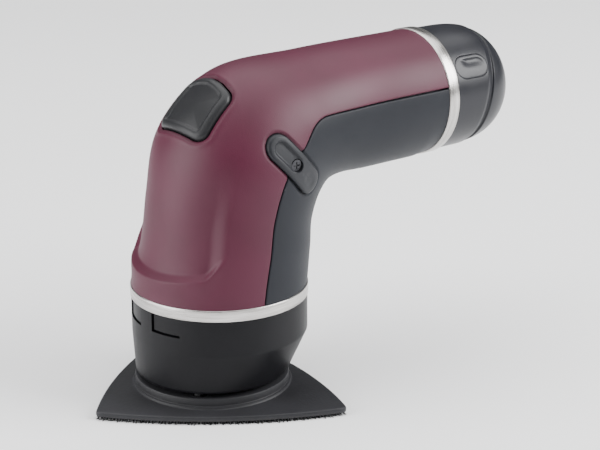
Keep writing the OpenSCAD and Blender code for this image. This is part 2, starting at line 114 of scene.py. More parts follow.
middle = (0.03, 0, 0.07)
soft_lamp("top_box", (0.15, 0.35, 1.7), (0.05, 0.25, 0), 2.4, 2.4, 60)
soft_lamp("left_box", (-1.0, 0.3, 0.28), middle, 1.0, 1.0, 21)
soft_lamp("right_box", (0.82, -0.80, 0.74), middle, 0.8, 0.75, 31)
sky = bpy.data.worlds.new("studio")
bpy.context.scene.world = sky
sky.use_nodes = True
sky.node_tree.nodes["Background"].inputs["Color"].default_value = (0.95, 0.97, 1.0, 1)
sky.node_tree.nodes["Background"].inputs["Strength"].default_value = 0.12
print("three lamps and a pale sky")

# %% [markdown]
# ## Writing shader maths as Python
#
# A finish is mostly arithmetic on noise: darker here, rougher there. Wiring each sum by hand
# hides the idea, so a small class wraps a socket and lets `+`, `*` and the rest add the Math
# nodes. Colours go through Mix nodes, because a Math node would turn them grey.


# %% A socket that knows arithmetic
class Wire:
    def __init__(self, paint, socket):
        self.paint = paint
        self.socket = socket

    def maths(self, operation, *values):
        return self.paint.node("ShaderNodeMath", {"operation": operation}, dict(enumerate(values)))

    def __add__(self, other):
        return self.maths("ADD", self, other)

    def __radd__(self, other):
        return self.maths("ADD", other, self)

    def __sub__(self, other):
        return self.maths("SUBTRACT", self, other)

    def __rsub__(self, other):
        return self.maths("SUBTRACT", other, self)

    def __mul__(self, other):
        return self.maths("MULTIPLY", self, other)

    def __rmul__(self, other):
        return self.maths("MULTIPLY", other, self)

    def __truediv__(self, other):
        return self.maths("DIVIDE", self, other)

    def __pow__(self, other):
        return self.maths("POWER", self, other)


# %% A material that builds its own nodes
class Paint:
    def __init__(self, name, **constants):
        self.material = bpy.data.materials.new(name)
        self.material.use_nodes = True
        self.tree = self.material.node_tree
        self.shader = self.tree.nodes["Principled BSDF"]
        for socket, value in constants.items():
            self.shader.inputs[socket.replace("_", " ")].default_value = value
        self.place = self.node("ShaderNodeTexCoord", output="Object")

    def node(self, kind, settings=None, sockets=None, output=0):
        made = self.tree.nodes.new(kind)
        for name, value in (settings or {}).items():
            if name == "stops":
                while len(made.color_ramp.elements) < len(value):
                    made.color_ramp.elements.new(0.5)
                for stop, (position, colour) in zip(made.color_ramp.elements, value):
                    stop.position = position
                    stop.color = (*colour, 1) if len(colour) == 3 else colour
            else:
                setattr(made, name, value)
        for name, value in (sockets or {}).items():
            if isinstance(value, Wire):
                self.tree.links.new(value.socket, made.inputs[name])
            else:
                made.inputs[name].default_value = value
        return Wire(self, made.outputs[output])

    def noise(self, scale, detail=2.0, stretch=(1, 1, 1), rough=0.5):
        where = self.node("ShaderNodeMapping", {}, {"Vector": self.place, "Scale": stretch})
        return self.node(
            "ShaderNodeTexNoise", {},
            {"Vector": where, "Scale": scale, "Detail": detail, "Roughness": rough},
        )

    def cells(self, scale, feature="F1"):
        return self.node(
            "ShaderNodeTexVoronoi", {"feature": feature}, {"Vector": self.place, "Scale": scale}
        )

    def between(self, value, low, high):
        return self.node(
            "ShaderNodeMapRange",
            {"interpolation_type": "SMOOTHSTEP"},
            {"Value": value, "From Min": low, "From Max": high},
        )

    def mix(self, amount, first, second):
        colours = {"Factor": amount, 6: self.colour(first), 7: self.colour(second)}
        return self.node("ShaderNodeMix", {"data_type": "RGBA"}, colours, output=2)

    def colour(self, value):
        return value if isinstance(value, Wire) else (*value, 1)

    def painted_edge_highlight(self):
        # Mask of convex edges found by pointiness; the lighter tone painted there stands for an edge
        # highlight
        bend = self.node("ShaderNodeNewGeometry", output="Pointiness")
        return self.between(bend, 0.53, 0.62)

    def to(self, socket, value):
        self.tree.links.new(value.socket, self.shader.inputs[socket])

    def bump(self, height, depth, strength=1.0):
        bumped = self.node(
            "ShaderNodeBump", {}, {"Height": height, "Distance": depth, "Strength": strength}
        )
        self.to("Normal", bumped)


print("shader helpers ready")

# %% [markdown]
# ## The elbow as a formula
#
# Both shells share one skin. Seen from the side it is drawn by two smooth lines, one along the
# front and top and one along the rear and underside, with a width at each place. A station `u`
# runs from the head's ring to the handle's ring, and an angle goes round the section. One
# formula then gives the skin, its inside, and the places where button and clips sit on it.

# %% Where the frame puts things, in mm


def box_mm(node):
    low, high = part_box(node)
    return np.array(low) / MM, np.array(high) / MM


head_low, head_high = box_mm("head_ring")
handle_low, handle_high = box_mm("handle_ring")
# The outline seen from the camera asks for a head a little slimmer and further back than in the
# CAD frame, and for a handle a little lower
HEAD_BACK, HEAD_SLIMMER, HANDLE_LOWER = 0.5, 0.5, 0.5
RING_ROUNDING = 0.35
HANDLE_REACH = 24
HEAD_X = (head_low[0] + head_high[0]) / 2 + HEAD_BACK
HEAD_R = (head_high[0] - head_low[0]) / 2 - HEAD_SLIMMER
HANDLE_Z = (handle_low[2] + handle_high[2]) / 2 - HANDLE_LOWER
HANDLE_R = (handle_high[2] - handle_low[2]) / 2
print("head ring radius", round(HEAD_R, 2), "handle ring radius", round(HANDLE_R, 2))

# %% Skin of the body
FRONT_LINE = [
    (HEAD_X - HEAD_R + RING_ROUNDING, head_high[2]), (-26.0, 59), (-22.9, 77), (-13.6, 101.5),
    (8, 118.9), (44, 121.5), (handle_low[0], HANDLE_Z + HANDLE_REACH),
]
REAR_LINE = [
    (HEAD_X + HEAD_R - RING_ROUNDING, head_high[2]), (37.4, 54), (38.5, 63), (41.8, 70.9),
    (48.4, 73.5), (64, 73.8), (handle_low[0], HANDLE_Z - HANDLE_REACH),
]
HALF_WIDTH = [32.1, 31.6, 30.5, 30.7, 27.6, 24.6, 24]


def curve(points, u):
    p = np.asarray(points, float)
    p = np.concatenate([2 * p[:1] - p[1:2], p, 2 * p[-1:] - p[-2:-1]])
    s = np.clip(u * (len(points) - 1), 0, len(points) - 1.000001)
    i = np.floor(s).astype(int)
    t = s - i
    if p.ndim == 2:
        t = t[..., None]
    a, b, c, d = p[i], p[i + 1], p[i + 2], p[i + 3]
    bend = (2 * a - 5 * b + 4 * c - d) * t**2 + (3 * b - a - 3 * c + d) * t**3
    return 0.5 * (2 * b + (c - a) * t + bend)


def skin_point(u, angle, lift=0.0):
    top, low = curve(FRONT_LINE, u), curve(REAR_LINE, u)
    centre, reach = (top + low) / 2, (top - low) / 2
    stretch = 1 + lift / np.linalg.norm(reach, axis=-1)
    x = centre[..., 0] + reach[..., 0] * stretch * np.cos(angle)
    z = centre[..., 1] + reach[..., 1] * stretch * np.cos(angle)
    y = -(curve(HALF_WIDTH, u) + lift) * np.sin(angle)
    return np.stack([x, y, z], axis=-1)


def step(value):
    t = np.clip(value, 0, 1)
    return t * t * (3 - 2 * t)


def seam_angle(u):
    return np.radians(85.2 + 2.8 * step(u / 0.3) - 12 * step((u - 0.6) / 0.14))


print("elbow front at half way:", np.round(skin_point(np.array(0.5), 0.0), 1))

# %% [markdown]
# ## From grids of points to pieces
#
# Every shape here is a grid: rows along the piece, columns around it. One helper joins the
# neighbours into faces, closes the ends, welds, turns the normals outwards and hands the piece
# to the body that it moves with.

# %% Grids, patches and pieces


def grid_faces(rows, cols, start=0, round_rows=False, round_cols=True):
    last_row = rows if round_rows else rows - 1
    last_col = cols if round_cols else cols - 1
    faces = []
    for i in range(last_row):
        a, b = start + i * cols, start + ((i + 1) % rows) * cols
        for j in range(last_col):
            k = (j + 1) % cols
            faces.append((a + j, a + k, b + k, b + j))
    return faces


def patch(points, round_rows=False, round_cols=True, first_cap=False, last_cap=False):
    rows, cols = points.shape[:2]
    faces = grid_faces(rows, cols, 0, round_rows, round_cols)
    if first_cap:
        faces.append(tuple(range(cols)))
    if last_cap:
        faces.append(tuple((rows - 1) * cols + j for j in range(cols)))
    return points.reshape(-1, 3), faces


def solid(name, patches, finish, body, replaces=()):
    vertices, faces = [], []
    for points, some in patches:
        start = sum(len(v) for v in vertices)
        vertices.append(points)
        faces += [tuple(k + start for k in face) for face in some]
    mesh = bpy.data.meshes.new(name)
    mesh.from_pydata((np.concatenate(vertices) * MM).tolist(), [], faces)
    work = bmesh.new()
    work.from_mesh(mesh)
    bmesh.ops.remove_doubles(work, verts=work.verts, dist=1e-7)
    bmesh.ops.recalc_face_normals(work, faces=work.faces)
    work.to_mesh(mesh)
    work.free()
    mesh.polygons.foreach_set("use_smooth", [True] * len(mesh.polygons))
    mesh.materials.append(finish)
    piece = bpy.data.objects.new(name, mesh)
    bpy.context.collection.objects.link(piece)
    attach(piece, body)
    if replaces:
        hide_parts(*replaces)
    print(f"{name}: {len(mesh.polygons)} faces on {body}")
    return piece


def lathe_z(profile, count, centre=(0, 0)):
    angle = np.linspace(0, 2 * np.pi, count, endpoint=False)
    r, z = np.array(profile, float).T
    x = centre[0] + r[:, None] * np.cos(angle)
    y = centre[1] + r[:, None] * np.sin(angle)
    return np.stack([x, y, np.repeat(z[:, None], count, 1)], axis=-1)


def lathe_x(profile, count, height):
    points = lathe_z(profile, count)
    return np.stack([points[..., 2], points[..., 1], height + points[..., 0]], axis=-1)


def rounded_band(inner, outer, low, high, radius, steps=4):
    turn = np.linspace(0, np.pi / 2, steps)
    corner = radius * (1 - np.cos(turn)), radius * (1 - np.sin(turn))
    top = [(outer - a, high - b) for a, b in zip(corner[0], corner[1])]
    bottom = [(outer - a, low + b) for a, b in zip(corner[0], corner[1])][::-1]
    return [(inner, low)] + bottom + top + [(inner, high)]


print("piece helpers ready")

# %% [markdown]
# ## Finishes of the body
#
# The shells are hard plastic under a soft-touch rubber skin. It is matt and a little velvety,
# with a fine grain that only shows close up, slightly polished patches where a hand holds it,
# and a paler tone painted on proud edges as a highlight. The same recipe serves both colours.


# %% Soft-touch skin
def soft_touch(name, base, light, dark, shine):
    paint = Paint(name, IOR=1.46, Specular_IOR_Level=shine, Sheen_Weight=0.03, Sheen_Roughness=0.45)
    paint.shader.inputs["Sheen Tint"].default_value = (*light, 1)
    cloud = paint.noise(38, 3)
    grain = paint.noise(2600, 2)
    pores = paint.cells(3400)
    handled = paint.between(paint.noise(21, 2), 0.42, 0.66)
    tone = paint.mix(paint.between(cloud, 0.3, 0.7), dark, base)
    # Painted highlight: proud edges are mixed towards the light colour
    tone = paint.mix(paint.painted_edge_highlight() * 0.35, tone, light)
    paint.to("Base Color", tone)
    paint.to("Roughness", 0.50 - handled * 0.07 + grain * 0.08)
    paint.bump(grain * 0.6 + pores * 0.4, 0.00006, 0.5)
    return paint.material


burgundy = soft_touch("burgundy_soft_touch", (0.066, 0.0055, 0.022), (0.16, 0.035, 0.07),
                      (0.056, 0.0045, 0.018), 0.42)
grey_grip = soft_touch("grey_soft_touch", (0.012, 0.0135, 0.018), (0.05, 0.052, 0.06),
                       (0.0095, 0.011, 0.015), 0.23)
print("burgundy and grey skins ready")


# %% Moulded plastics
def moulded(name, base, dark, roughness, grain_size, grain_depth, shine=0.3):
    paint = Paint(name, IOR=1.5, Specular_IOR_Level=shine)
    cloud = paint.noise(55, 3)
    grain = paint.noise(grain_size, 2)
    smear = paint.between(paint.noise(90, 3, (1, 1, 0.25)), 0.45, 0.75)
    tone = paint.mix(paint.between(cloud, 0.3, 0.7), dark, base)
    # Painted highlight: proud edges are mixed towards a lighter copy of the base colour
    edge_highlight_tone = tuple(min(1, 2.2 * c + 0.01) for c in base)
    paint.to("Base Color", paint.mix(paint.painted_edge_highlight() * 0.4, tone, edge_highlight_tone))
    paint.to("Roughness", roughness + grain * 0.10 - smear * 0.06)
    paint.bump(grain, grain_depth, 0.45)
    return paint.material


collar_black = moulded("collar_plastic", (0.0055, 0.0055, 0.007), (0.004, 0.004, 0.0052), 0.38, 1900,
                       0.00004, 0.16)
cap_black = moulded("cap_plastic", (0.014, 0.0145, 0.019), (0.011, 0.0115, 0.015), 0.31, 2400, 0.00003)
button_black = moulded("button_plastic", (0.017, 0.0175, 0.019), (0.014, 0.014, 0.016), 0.36, 2400,
                       0.00003)
clip_grey = moulded("clip_plastic", (0.014, 0.015, 0.0185), (0.011, 0.012, 0.015), 0.45, 1700, 0.00006)
pad_black = moulded("pad_plastic", (0.020, 0.020, 0.023), (0.016, 0.016, 0.018), 0.50, 1100, 0.00012)
inner_black = moulded("inner_plastic", (0.06, 0.06, 0.07), (0.045, 0.045, 0.05), 0.5, 900, 0.00008)
seal_black = moulded("seal_rubber", (0.022, 0.022, 0.024), (0.015, 0.015, 0.017), 0.65, 1500, 0.00010)
print("moulded plastics ready")


# %% Metals
def brushed(name, tone, shade, roughness, stretch, scale=700):
    paint = Paint(name, Metallic=1.0)
    streaks = paint.noise(scale, 3, stretch, 0.65)
    broad = paint.noise(40, 2)
    colour = paint.mix(paint.between(streaks, 0.25, 0.75), shade, tone)
    paint.to("Base Color", paint.mix(paint.between(broad, 0.35, 0.75) * 0.3, colour, shade))
    paint.to("Roughness", roughness + streaks * 0.16)
    paint.bump(streaks, 0.00002, 0.35)
    return paint.material


TRIM_TONE, TRIM_SHADE = (0.66, 0.64, 0.62), (0.36, 0.345, 0.33)
trim_steel = brushed("trim_steel", TRIM_TONE, TRIM_SHADE, 0.20, (0.05, 0.05, 1), 900)
handle_steel = brushed("trim_steel_handle", TRIM_TONE, TRIM_SHADE, 0.20, (1, 0.05, 0.05), 900)
plain_steel = brushed("screw_steel", (0.07, 0.07, 0.075), (0.04, 0.04, 0.045), 0.36, (1, 1, 1), 400)
motor_steel = brushed("motor_steel", (0.58, 0.59, 0.61), (0.44, 0.45, 0.47), 0.36, (1, 1, 0.1))
bearing_steel = brushed("bearing_steel", (0.76, 0.77, 0.78), (0.62, 0.63, 0.65), 0.14, (1, 1, 0.2))
die_cast = brushed("die_cast", (0.55, 0.56, 0.58), (0.42, 0.43, 0.45), 0.48, (1, 1, 1), 900)
copper = brushed("copper", (0.80, 0.40, 0.20), (0.55, 0.25, 0.12), 0.32, (0.2, 0.2, 1), 900)
bronze = brushed("bronze", (0.72, 0.52, 0.28), (0.50, 0.35, 0.18), 0.40, (1, 1, 1), 900)
print("metals ready")


# %% Small inner finishes
def speckled(name, base, spot, size, roughness, **constants):
    paint = Paint(name, **constants)
    dots = paint.between(paint.cells(size), 0.15, 0.45)
    paint.to("Base Color", paint.mix(dots, spot, base))
    paint.to("Roughness", roughness + dots * 0.12)
    paint.bump(paint.noise(size, 2), 0.00004, 0.4)
    return paint.material


ferrite = speckled("magnet_ferrite", (0.055, 0.055, 0.06), (0.09, 0.09, 0.10), 1300, 0.55)
board_green = speckled("board_green", (0.010, 0.085, 0.035), (0.03, 0.16, 0.07), 420, 0.35)
wire_red = speckled("wire_red", (0.36, 0.020, 0.018), (0.45, 0.04, 0.03), 900, 0.42)
cell_wrap = speckled("cell_wrap", (0.015, 0.16, 0.10), (0.03, 0.22, 0.15), 160, 0.30)
hook_black = speckled("hook_fabric", (0.009, 0.009, 0.010), (0.02, 0.02, 0.022), 1500, 0.62)
print("inner finishes ready")

# %% [markdown]
# ## Outlines with round corners
#
# Button, clips, release buttons and sanding pad are all rounded outlines without hollows. Such
# a shape is fully described by how far it reaches in every direction, its support. Growing it
# by a gap is one addition, and both its radius and the distance from it follow in one line
# each. So the piece and the pocket it sits in can never disagree.


# %% Rounded outline from its reach in every direction
class Outline:
    turns = np.linspace(0, 2 * np.pi, 540, endpoint=False)
    facing = np.stack([np.cos(turns), np.sin(turns)])

    def __init__(self, centres, radii):
        reach = np.asarray(centres, float) @ self.facing + np.reshape(radii, (-1, 1))
        self.reach = reach.max(axis=0)

    def radius(self, angle, grow=0.0):
        lean = np.cos(np.asarray(angle)[:, None] - self.turns)
        reach = np.where(lean > 0.05, (self.reach + grow) / np.maximum(lean, 0.05), np.inf)
        return reach.min(axis=1)

    def distance(self, x, y):
        points = np.stack([np.ravel(x), np.ravel(y)], axis=1)
        return (points @ self.facing - self.reach).max(axis=1).reshape(np.shape(x))

    def ring(self, count, grow=0.0, scale=1.0):
        angle = np.linspace(0, 2 * np.pi, 2001)
        r = self.radius(angle, grow) * scale
        line = np.stack([r * np.cos(angle), r * np.sin(angle)], axis=1)
        run = np.concatenate([[0], np.cumsum(np.linalg.norm(np.diff(line, axis=0), axis=1))])
        wanted = np.linspace(0, run[-1], count, endpoint=False)
        return np.stack([np.interp(wanted, run, line[:, k]) for k in (0, 1)], axis=1)


BUTTON_SHAPE = Outline(
    [(-7.2, -9.2), (-7.2, 9.2), (5.2, -7.6), (5.2, 7.6), (6.2, -3.8), (6.2, 3.8), (6.6, 0)],
    [4, 4, 5.0, 5.0, 5.2, 5.2, 5.3],
)
CLIP_LENGTH, CLIP_WIDTH = 27.5, 9.8
CLIP_HALF = (CLIP_LENGTH - CLIP_WIDTH) / 2
CLIP_SHAPE = Outline([(-CLIP_HALF, 0), (CLIP_HALF, 0)], [CLIP_WIDTH / 2] * 2)
print("button is", round(2 * BUTTON_SHAPE.reach[0], 1), "mm and clip", CLIP_LENGTH, "mm long")

# %% Places of the button and the clips
BUTTON_TILT = math.radians(41.5)
BUTTON_AT = np.array([-4.4, 0, 106.4])
BUTTON_UP = np.array([-math.sin(BUTTON_TILT), 0, math.cos(BUTTON_TILT)])
BUTTON_REAR = np.array([math.cos(BUTTON_TILT), 0, math.sin(BUTTON_TILT)])
CLIP_TILT = math.radians(48)
clip_low, clip_high = box_mm("clip_screws")
CLIP_AT = np.array([(clip_low[0] + clip_high[0]) / 2, 0, (clip_low[2] + clip_high[2]) / 2])
CLIP_ALONG = np.array([math.cos(CLIP_TILT), 0, -math.sin(CLIP_TILT)])
CLIP_ACROSS = np.array([math.sin(CLIP_TILT), 0, math.cos(CLIP_TILT)])


def in_button(points):
    local = points - BUTTON_AT
    return local @ BUTTON_REAR, local[..., 1], local @ BUTTON_UP


def in_clip(points):
    local = points - CLIP_AT
    return local @ CLIP_ALONG, local @ CLIP_ACROSS


print("clip middle:", np.round(CLIP_AT, 1))

# %% [markdown]
# ## The two shells
#
# Both halves are moulded, so their outside is not just the skin. In front, under the button, a
# shallow hollow takes a finger, with a crisp lip at its foot and soft sides. Around the button
# and the clips the skin dips into a rounded edge. Each of these is a depth that depends on the
# place, and the depths are simply added. Along the seam the edges are rolled, so that a dark
# line is left between them, as on any clamshell.

# %% Depth of the moulded shapes


def finger_hollow(points, angle):
    side = np.abs(np.degrees(angle))
    height = points[..., 2]
    lip = 49.2 + 2.2 * (np.minimum(side, 45) / 45) ** 2 + 7 * step((side - 43) / 15)
    foot = step((height - lip) / 2.7) ** 0.75
    fade = 1 - step((height - 64) / 32)
    swell = 0.7 * np.exp(-((height - lip) / 4.5) ** 2) * (1 - step((side - 38) / 26))
    return 2.2 * foot * fade * (1 - step((side - 45) / 13)) - swell


def dip(distance, depth, width):
    return depth * (1 - step(distance / width)) ** 1.5


def moulded_depth(points, angle):
    depth = finger_hollow(points, angle)
    along, across, height = in_button(points)
    near = (height > -12) & (np.abs(along) < 18)
    gap = np.full(along.shape, 99.0)
    gap[near] = BUTTON_SHAPE.distance(along[near], across[near])
    depth += dip(gap - 0.5, 0.85, 1.6) - 0.2 * np.exp(-((gap - 2.3) / 0.7) ** 2)
    along, across = in_clip(points)
    near = (np.abs(points[..., 1]) > 15) & (np.abs(along) < 18) & (np.abs(across) < 9)
    gap = np.full(along.shape, 99.0)
    gap[near] = CLIP_SHAPE.distance(along[near], across[near])
    return depth + dip(gap - 0.36, 0.5, 1.1)


# %% Shell from a loop of skin, seam edges and inside
WALL = 2.0
SEAM_ROLL = 0.5


def seam_gap(u):
    return np.radians(0.45 + 0.8 * step((u - 0.7) / 0.3))


def shell_points(stations, inner, outer_columns, inner_columns, lift):
    u = stations[:, None]
    gap = seam_gap(u)
    half = seam_angle(u) - gap / 2
    first, last = (half, 2 * np.pi - half) if inner else (-half, half)
    first = first + (gap if inner else 0)
    last = last - (gap if inner else 0)
    turn = np.linspace(0, np.pi / 2, 6)
    radius = curve(HALF_WIDTH, u)
    roll_in = SEAM_ROLL * (1 - np.sin(turn)) / radius
    roll_down = np.broadcast_to(SEAM_ROLL * (1 - np.cos(turn)), roll_in.shape)
    share = np.linspace(0, 1, outer_columns)
    start, stop = first + roll_in[:, :1], last - roll_in[:, :1]
    outer = start + (stop - start) * share
    back = np.linspace(1, 0, inner_columns)
    inside = first + (last - first) * back
    angle = np.concatenate([outer, last - roll_in[:, 1:], inside, (first + roll_in[:, 1:])[:, ::-1]], 1)
    down = np.concatenate([
        np.zeros_like(outer), roll_down[:, 1:], np.full_like(inside, WALL), roll_down[:, :0:-1],
    ], 1)
    bare = skin_point(np.broadcast_to(u, angle.shape), angle)
    round_angle = (angle + np.pi) % (2 * np.pi) - np.pi
    shape = moulded_depth(bare, round_angle)
    down = np.where(down >= WALL, np.maximum(WALL, shape + 1.1), down + shape)
    return skin_point(np.broadcast_to(u, angle.shape), angle, lift(u, angle) - down)


def no_lift(u, angle):
    return 0.0


def tail_lift(u, angle):
    swell = step((u - 0.74) / 0.12) * (1 - step((u - 0.962) / 0.036))
    return 0.55 * swell * np.clip(-np.cos(angle), 0, 1)


STATIONS = np.linspace(0, 1, 360)
COLUMNS = 170
upper_points = shell_points(STATIONS, False, COLUMNS, 40, no_lift)
lower_points = shell_points(STATIONS, True, COLUMNS, 40, tail_lift)
upper = solid("upper_shell_skin", [patch(upper_points, False, True, True, True)], burgundy,
              "housing", ["upper_shell"])
lower = solid("lower_shell_skin", [patch(lower_points, False, True, True, True)], grey_grip,
              "housing", ["lower_shell"])

# %% Skin as a surface to measure from
full_turn = np.linspace(0, 2 * np.pi, 240, endpoint=False)
skin_grid = skin_point(np.linspace(0, 1, 240)[:, None], np.broadcast_to(full_turn, (240, 240)))
skin_vertices, skin_faces = patch(skin_grid)
skin_tree = BVHTree.FromPolygons([Vector(p) for p in skin_vertices], skin_faces)


def lay_on_skin(points, direction, far=60.0):
    heading = Vector(direction)
    laid = []
    for point in points:
        hit = skin_tree.ray_cast(Vector(point) - heading * far, heading)[0]
        laid.append(np.array(hit if hit is not None else point))
    return np.array(laid)


print("skin surface of", len(skin_faces), "faces to lay pieces on")


# %% Pockets cut with a shape of their own
def cut(piece, patches):
    cutter = solid(piece.name + "_cutter", patches, burgundy, "housing")
    fit = piece.modifiers.new("pocket", "BOOLEAN")
    fit.operation, fit.solver, fit.object = "DIFFERENCE", "EXACT", cutter
    done = piece.evaluated_get(bpy.context.evaluated_depsgraph_get())
    mesh = bpy.data.meshes.new_from_object(done)
    piece.modifiers.clear()
    piece.data = mesh
    bpy.data.objects.remove(cutter)
    print(f"{piece.name} after the cut: {len(mesh.polygons)} faces")


def crisp(piece, degrees=32):
    piece.data.set_sharp_from_angle(angle=math.radians(degrees))


def button_prism(grow, low, high, count=120):
    ring = BUTTON_SHAPE.ring(count, grow)
    flat = BUTTON_AT + ring[:, :1] * BUTTON_REAR + ring[:, 1:] * np.array([0, 1, 0])
    return np.stack([flat + BUTTON_UP * low, flat + BUTTON_UP * high])


def clip_place(ring, side):
    flat = CLIP_AT + ring[:, :1] * CLIP_ALONG + ring[:, 1:] * CLIP_ACROSS
    return lay_on_skin(flat, (0, side, 0))


def clip_block(side, grow, low, high, count=96):
    ring = clip_place(CLIP_SHAPE.ring(count, grow), side)
    return np.stack([ring - np.array([0, side * low, 0]), ring - np.array([0, side * high, 0])])


cut(upper, [patch(button_prism(0.5, -14, 8), first_cap=True, last_cap=True)])
for shell in (upper, lower):
    for side in (1, -1):
        cut(shell, [patch(clip_block(side, 0.36, -1.35, 5), first_cap=True, last_cap=True)])
    crisp(shell)

# %% [markdown]
# ## Steel trim
#
# The two rings are turned from steel tube and brushed while they spin, so their edges carry a
# small radius and the scratches run round them. A lathe is the honest tool here: one short
# profile, turned about its axis.

# %% Rings
RING_DEPTH = 2.6
head_profile = rounded_band(HEAD_R - RING_DEPTH, HEAD_R, head_low[2], head_high[2], RING_ROUNDING)
solid("head_trim_ring", [patch(lathe_z(head_profile, 240, (HEAD_X, 0)), round_rows=True)],
      trim_steel, "housing", ["head_ring"])
handle_profile = rounded_band(
    HANDLE_R - RING_DEPTH, HANDLE_R, handle_low[0], handle_high[0], RING_ROUNDING)
solid("handle_trim_ring", [patch(lathe_x(handle_profile, 240, HANDLE_Z), round_rows=True)],
      handle_steel, "housing", ["handle_ring"])

# %% [markdown]
# ## The collar
#
# Under the ring a black collar narrows towards the pad. It is a straight loft between three
# circles, the lowest one about the pad's own axis. At its front two latch tabs sit in shallow
# windows, each with a slot along one side and underneath. The grid gets a row or column on
# both sides of every slot, so the small walls come out crisp.

# %% Collar
collar_low = box_mm("collar")[0]
COLLAR_TOP = head_low[2]
COLLAR_BREAK = 23.5
COLLAR_FOOT_R = 28.0
COLLAR_R = HEAD_R - 0.3
WINDOW_FOOT = 29.7
SLOT = 0.75
window_starts = [math.radians(-173.5), math.radians(-208.5)]
WINDOW_ANGLE = math.radians(22.5)
SLOT_ANGLE = SLOT / COLLAR_R


def collar_point(z, angle, depth):
    share = np.clip((z - collar_low[2]) / (COLLAR_BREAK - collar_low[2]), 0, 1)
    radius = COLLAR_FOOT_R + (COLLAR_R - COLLAR_FOOT_R) * share - depth
    return np.stack(np.broadcast_arrays(
        HEAD_X * share + radius * np.cos(angle), radius * np.sin(angle), z), axis=-1)


def doubled(values, edges, width):
    return np.unique(np.concatenate([values] + [[e - width, e + width] for e in edges]))


column_edges = [a + k for a in window_starts for k in (0, SLOT_ANGLE, WINDOW_ANGLE)]
collar_turns = np.linspace(-np.pi * 1.25, np.pi * 0.75, 200, endpoint=False)
collar_angles = doubled(collar_turns, column_edges, 4e-4)
row_edges = [WINDOW_FOOT, WINDOW_FOOT + SLOT]
collar_rows = doubled(np.linspace(collar_low[2] + 0.9, COLLAR_TOP, 56), row_edges, 0.012)[::-1]


def window_depth(z, angle):
    depth = np.zeros(np.broadcast_shapes(z.shape, angle.shape))
    for start in window_starts:
        inside = (angle > start) & (angle < start + WINDOW_ANGLE) & (z > WINDOW_FOOT)
        slot = inside & ((angle < start + SLOT_ANGLE) | (z < WINDOW_FOOT + SLOT))
        tab = np.clip((angle - start) / WINDOW_ANGLE, 0, 1)
        depth = np.where(inside, 0.55 - 0.25 * tab, depth)
        depth = np.where(slot, 2.0, depth)
    return depth


z, angle = collar_rows[:, None], collar_angles[None, :]
outer = collar_point(z, angle, window_depth(z, angle))
turn = np.linspace(0, np.pi / 2, 5)[1:, None]
foot = collar_point(collar_low[2] + 0.9 * (1 - np.sin(turn)), angle, 0.9 * (1 - np.cos(turn)))
bore = np.stack([collar_point(np.array([[h]]), angle, 0)[0] for h in (collar_low[2], COLLAR_BREAK)])
bore[..., 0] = 26 * np.cos(angle)
bore[..., 1] = 26 * np.sin(angle)
cavity = np.stack([collar_point(np.array([[h]]), angle, 0)[0] for h in (COLLAR_BREAK, COLLAR_TOP)])
cavity[..., 0] = HEAD_X + 29.5 * np.cos(angle)
cavity[..., 1] = 29.5 * np.sin(angle)
collar_grid = np.concatenate([outer, foot, bore, cavity])
collar = solid("collar_skin", [patch(collar_grid, round_rows=True)], collar_black,
               "housing", ["collar"])
crisp(collar, 30)

# %% [markdown]
# ## Button
#
# The power button is a black moulding with a rounded wall, a proud rim and a dish for the
# thumb. It follows the elbow's own curve, so every point of its outline is laid on the skin
# first and then lifted by a profile. Towards the middle the outline is scaled down instead of
# shrunk, which keeps the dish free of creases. Underneath it has a flange that keeps it in the
# shell, and a bore for its spring.

# %% Button
BUTTON_COUNT = 180
rim_profile = [(-0.02, -1.4), (-0.05, -0.35), (-0.22, 0.12), (-0.6, 0.46), (-1.2, 0.68), (-1.9, 0.76),
               (-2.45, 0.66), (-2.8, 0.36), (-3.1, -0.04), (-3.5, -0.3)]


def button_ring(grow, scale, lift):
    ring = BUTTON_SHAPE.ring(BUTTON_COUNT, grow, scale)
    flat = BUTTON_AT + ring[:, :1] * BUTTON_REAR + ring[:, 1:] * np.array([0, 1, 0])
    laid = lay_on_skin(flat, -BUTTON_UP, 30)
    return laid + BUTTON_UP * lift


def button_level(ring, height):
    return BUTTON_AT + ring[:, :1] * BUTTON_REAR + ring[:, 1:] * np.array([0, 1, 0]) + BUTTON_UP * height


def circle(radius, count):
    angle = np.linspace(0, 2 * np.pi, count, endpoint=False)
    return np.stack([radius * np.cos(angle), radius * np.sin(angle)], axis=1)


body_rings = [
    button_level(circle(0.02, BUTTON_COUNT), -3.2), button_level(circle(5.5, BUTTON_COUNT), -3.2),
    button_level(circle(5.5, BUTTON_COUNT), -8.2),
    button_level(BUTTON_SHAPE.ring(BUTTON_COUNT, 1.4), -8.2),
    button_level(BUTTON_SHAPE.ring(BUTTON_COUNT, 1.4), -7),
    button_level(BUTTON_SHAPE.ring(BUTTON_COUNT, -0.02), -7),
]
rim_rings = [button_ring(grow, 1, lift) for grow, lift in rim_profile]
dish_scales = np.linspace(0.97, 0.02, 24)
dish_rings = [button_ring(-3.5, k, -0.3 - 0.85 * (1 - k**2.4)) for k in dish_scales]
button_grid = np.stack(body_rings + rim_rings + dish_rings)
button = solid("button_cap", [patch(button_grid, first_cap=True, last_cap=True)], button_black,
               "button", ["power_button"])
crisp(button, 50)

# %% [markdown]
# ## Side clips
#
# On each side a pill-shaped clip bridges the seam and is held by one screw. It is bent to the
# shell like a strap. Its upper part is dished, a round hole in the middle takes the screw, and
# a second, fainter hollow sits at its lower end. The pill is a stack of shrinking outlines laid
# on the skin; the hole is cut afterwards with a round bar.

